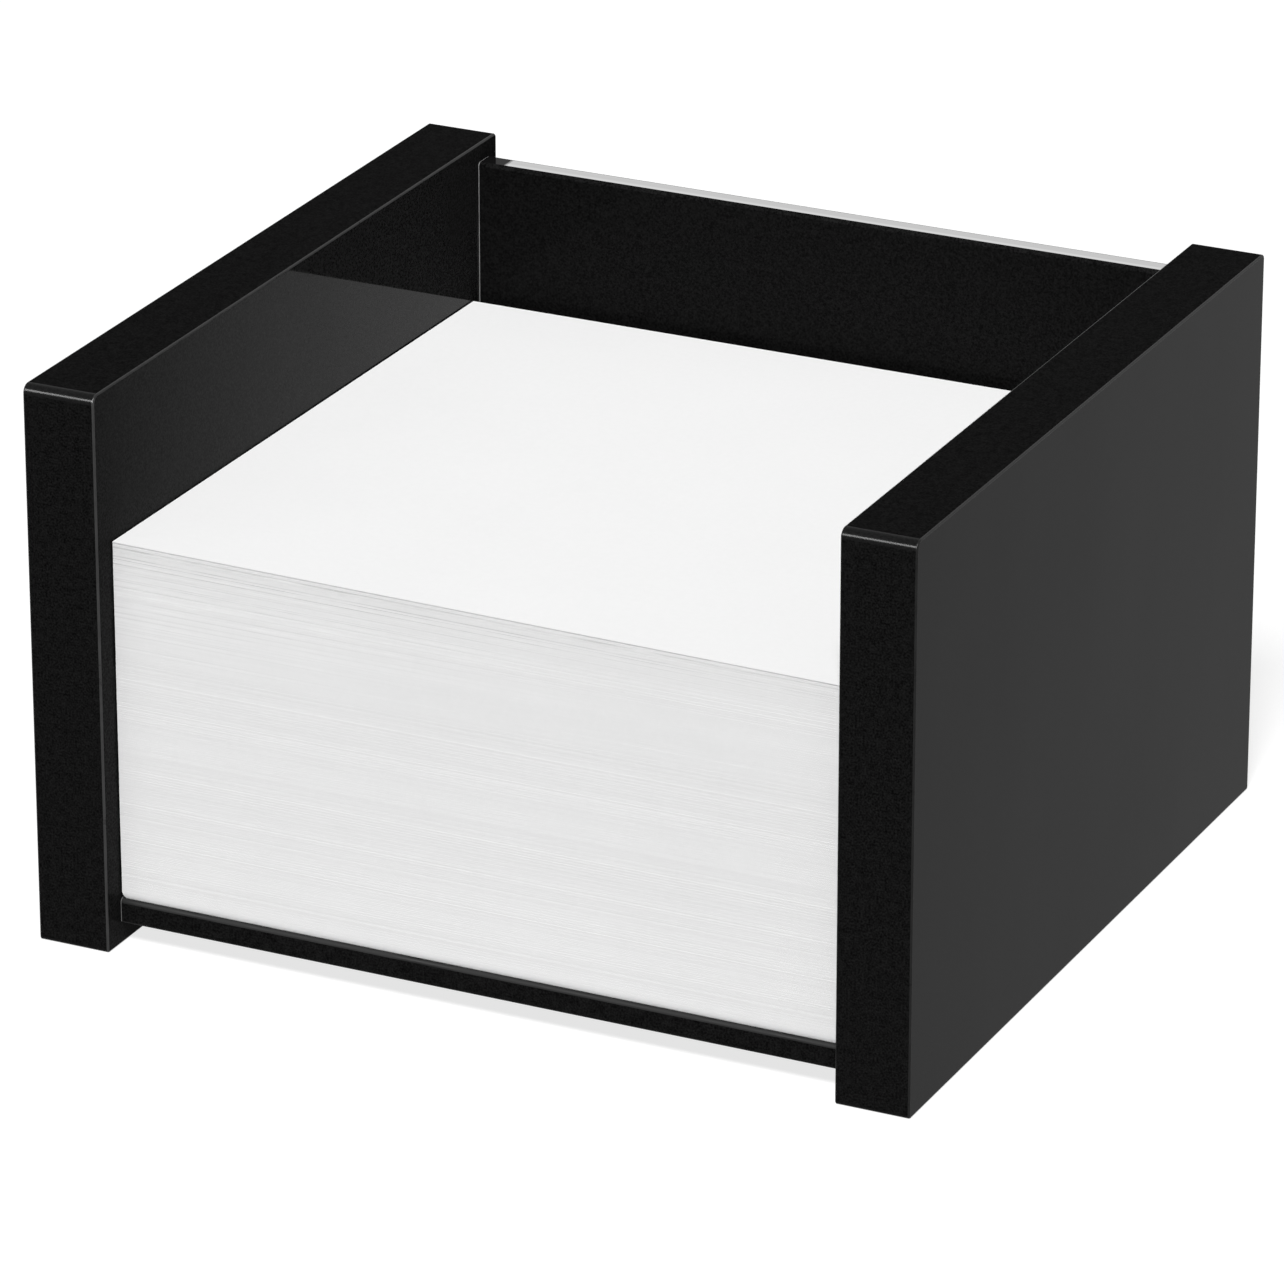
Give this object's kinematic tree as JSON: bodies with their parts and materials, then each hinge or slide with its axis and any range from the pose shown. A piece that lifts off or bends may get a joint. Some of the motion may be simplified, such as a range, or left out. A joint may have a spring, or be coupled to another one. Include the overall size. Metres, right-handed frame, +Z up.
{
  "type": "memo holder",
  "caption": "Open-fronted desk holder for loose square note sheets: thick gloss side panels carry a thin shelf and back panel around a stack of paper.",
  "frame": {"origin": "on the desk, midway between the outer faces of the side panels and midway between their front and rear edges", "axes": "+X to the right when facing the open front, +Y from the open front towards the back panel, +Z up"},
  "size_m": [0.109, 0.1, 0.068],
  "materials": {
    "black_acrylic": "polished black acrylic: glossy broad faces, satin sawn edges with a fine polished arris",
    "note_paper": "uncoated white writing paper"
  },
  "bodies": {
    "holder": {"left_side_panel": "black_acrylic", "right_side_panel": "black_acrylic", "bottom_shelf": "black_acrylic", "back_panel": "black_acrylic"},
    "stack": {"memo_block": "note_paper"},
    "loose_part": {"loose_wad_1": "note_paper", "loose_wad_2": "note_paper", "loose_wad_3": "note_paper", "loose_wad_4": "note_paper", "loose_wad_5": "note_paper", "loose_wad_6": "note_paper", "loose_wad_7": "note_paper", "loose_wad_8": "note_paper"},
    "single_sheet": {"top_sheet": "note_paper"}
  },
  "joints": [
    {"name": "stack_slide", "type": "slide", "parent": "holder", "child": "stack", "axis": [0, -1, 0], "range_m": [0, 0.1]},
    {"name": "loose_wads_lift", "type": "slide", "parent": "stack", "child": "loose_part", "axis": [0, 0, 1], "range_m": [0, 0.03]},
    {"name": "top_sheet_lift", "type": "slide", "parent": "loose_part", "child": "single_sheet", "axis": [0, 0, 1], "range_m": [0, 0.03]}
  ]
}
